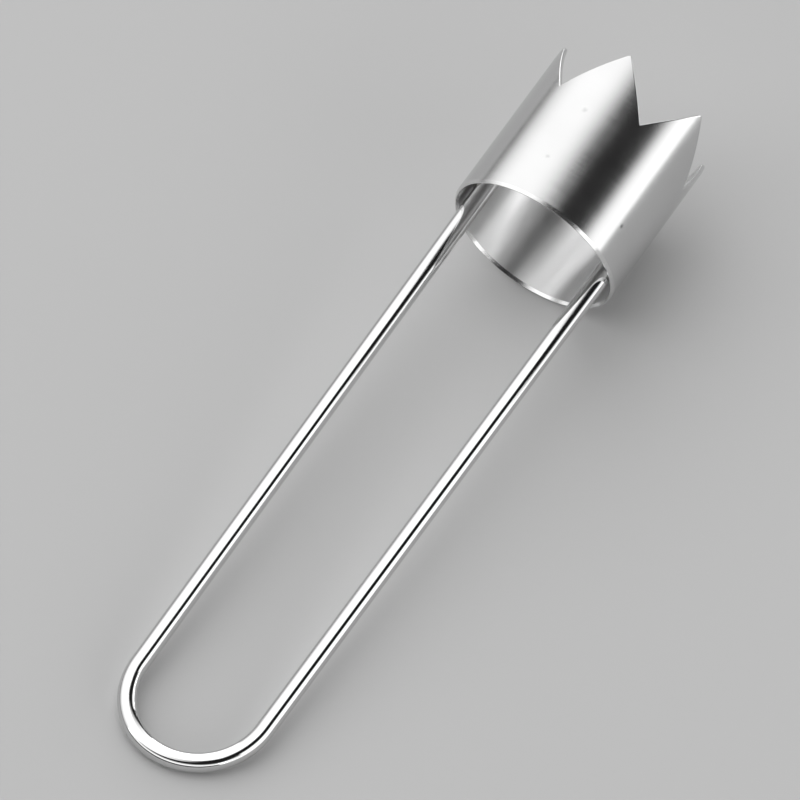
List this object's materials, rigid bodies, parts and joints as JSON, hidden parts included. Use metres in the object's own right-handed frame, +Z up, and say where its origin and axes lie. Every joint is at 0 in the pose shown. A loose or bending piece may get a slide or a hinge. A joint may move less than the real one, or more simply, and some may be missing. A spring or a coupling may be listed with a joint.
{
  "type": "vegetable corer",
  "caption": "Hand corer: a thin steel ring with saw teeth on one end, welded to a long handle of bent round wire.",
  "frame": {"origin": "on the table, under the middle of the corer's length and width, as it lies at rest", "axes": "+Y from the bend of the handle towards the teeth, along the table; +X across the two legs of the handle; +Z up. The ring's own axis rises 7.1 degrees above +Y, because the corer rests on the lowest point of its plain rim and on the bend"},
  "size_m": [0.029, 0.1358, 0.0324],
  "materials": {
    "ring_steel": "satin stainless steel, soft broad reflections, bright ground tooth edges",
    "wire_steel": "polished stainless steel wire",
    "weld_steel": "dull stainless steel weld metal"
  },
  "bodies": {
    "root": {"cutter_ring": "ring_steel", "wire_handle": "wire_steel", "weld_left_front": "weld_steel", "weld_left_rear": "weld_steel", "weld_right_front": "weld_steel", "weld_right_rear": "weld_steel"}
  },
  "joints": []
}
